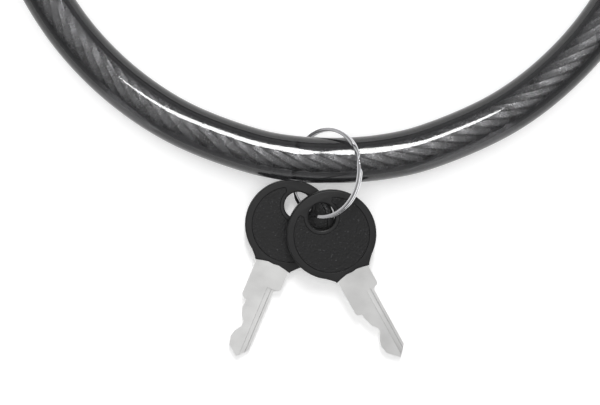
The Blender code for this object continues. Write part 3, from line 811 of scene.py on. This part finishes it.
def millLines(blade, place):
    length = key["lineLength"]
    for across, start, radius, below in key["milled"]:
        bpy.ops.mesh.primitive_cylinder_add(vertices=16, radius=radius, depth=length)
        cutter = bpy.context.object
        middle = (across, -key["holeToCentre"] - start - length / 2, key["bladeTop"] - below)
        cutter.data.transform(place @ Matrix.Translation(middle) @ Matrix.Rotation(math.radians(90), 4, "X"))
        dress(cutter, "nickel")
        cutFrom(blade, cutter)


def softenedCopy(node, name, body, width, segments=2, angle=28, lines=None, shade=40):
    # the CAD shape with its facets merged and its edges broken
    source = frame["nodes"][node]
    piece = source.copy()
    piece.data = source.data.copy()
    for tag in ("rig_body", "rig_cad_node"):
        if tag in piece:
            del piece[tag]
    piece.parent = None
    piece.name = name
    bpy.context.scene.collection.objects.link(piece)
    piece.data.transform(Matrix.Scale(1 / mm, 4))
    pick(piece)
    bpy.ops.object.mode_set(mode="EDIT")
    bpy.ops.mesh.select_all(action="SELECT")
    bpy.ops.mesh.remove_doubles(threshold=0.002)
    bpy.ops.mesh.dissolve_limited(angle_limit=math.radians(1.0))
    bpy.ops.object.mode_set(mode="OBJECT")
    bevel = piece.modifiers.new("edges", "BEVEL")
    bevel.width = width
    bevel.segments = segments
    bevel.limit_method = "ANGLE"
    bevel.angle_limit = math.radians(angle)
    applyAll(piece)
    if lines is not None:
        millLines(piece, lines)
    smooth(piece, shade)
    flatten = piece.modifiers.new("flatFaces", "WEIGHTED_NORMAL")
    flatten.keep_sharp = True
    applyAll(piece)
    piece.data.transform(Matrix.Scale(mm, 4))
    dress(piece, slotOf[node])
    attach(piece, body)
    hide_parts(node)
    return piece


for name in key["turns"]:
    buildBow(name)
    softenedCopy(f"{name}_blade", f"{name}_milled", name, 0.09, lines=keyFrame(name), shade=12)
print("stage: the keys are cut")


# ---- the lock, out of the main view but finished all round ----

brokenEdges = {                # CAD node: (new piece, body, width of the broken edge)
    "housing_jacket": ("housing_shell", "lock", 0.5),
    "fixed_collar": ("collar_at_cable", "lock", 0.4),
    "socket_collar": ("collar_at_socket", "lock", 0.4),
    "keyhole_bezel": ("keyhole_ring", "lock", 0.14),
    "dust_cover_screw": ("flap_screw", "lock", 0.12),
    "dust_cover": ("keyhole_flap", "dust_cover", 0.3),
    "cylinder_rotor": ("key_plug", "cylinder", 0.1),
    "plug_pin": ("plug_steel", "plug", 0.15),
}
for node, (name, body, width) in brokenEdges.items():
    softenedCopy(node, name, body, width, 3)

boot = {
    "radii": (9.8, 7.4),
    "bore": 6.25,
    "ribs": 4,
    "ribDepth": 0.55,
    "ribPitch": 2.1,
    "firstRib": 4.2,
    "lip": 0.5,
    "lipRound": 0.3,          # share of the lip that its rounding takes
    "shoulder": 0.3,          # the ribbed part's radius is this much less than the lip's
    "taperFrom": 0.3,         # share of the length before the boot narrows
    "stations": 64,
    "steps": 72,
}


def bootProfile(length):
    # (along, radius) from the lock's end to the free end, with soft ribs for bending
    wide, narrow = boot["radii"]
    lip, inset, count = boot["lip"], boot["lip"] * boot["lipRound"], boot["stations"]
    outside = [(0.0, wide - lip), (inset, wide - inset), (lip, wide)]
    for i in range(1, count):
        along = lip + (length - 2 * lip) * i / count
        share = max(0.0, (along / length - boot["taperFrom"]) / (1 - boot["taperFrom"]))
        eased = (narrow - wide + boot["shoulder"]) * share * share * (3 - 2 * share)
        radius = wide - boot["shoulder"] + eased
        inRibs = (along - boot["firstRib"]) / boot["ribPitch"]
        if 0.0 <= inRibs <= boot["ribs"]:
            radius -= boot["ribDepth"] * (0.5 - 0.5 * math.cos(2 * math.pi * inRibs)) ** 2
        outside.append((along, radius))
    outside += [(length - inset, narrow - inset), (length, narrow - lip)]
    return outside + [(length, boot["bore"]), (0.0, boot["bore"])]


def buildBoot(name, node, body):
    low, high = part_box(node)
    length = (high.x - low.x) / mm
    forward = low.x > 0
    bpy.ops.object.select_all(action="DESELECT")
    profile = bootProfile(length)
    mesh = bpy.data.meshes.new(name)
    points = [(along, radius, 0.0) for along, radius in profile]
    mesh.from_pydata(points, [(i, (i + 1) % len(points)) for i in range(len(points))], [])
    piece = bpy.data.objects.new(name, mesh)
    bpy.context.scene.collection.objects.link(piece)
    pick(piece)
    bpy.ops.object.mode_set(mode="EDIT")
    bpy.ops.mesh.select_all(action="SELECT")
    bpy.ops.mesh.spin(steps=boot["steps"], angle=2 * math.pi, center=(0, 0, 0), axis=(1, 0, 0))
    bpy.ops.object.mode_set(mode="OBJECT")
    turned = Matrix.Identity(4) if forward else Matrix.Rotation(math.pi, 4, "Z")
    start = low.x if forward else high.x
    intoPlace(piece, Matrix.Translation((start / mm, 0.0, cable["height"])) @ turned)
    cleanMesh(piece, 0.000001)
    smooth(piece, 40)
    dress(piece, "black_rubber")
    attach(piece, body)
    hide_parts(node)
    return piece


buildBoot("boot_at_cable", "fixed_boot", "lock")
buildBoot("boot_at_plug", "plug_boot", "plug")
print("stage: the lock is finished")
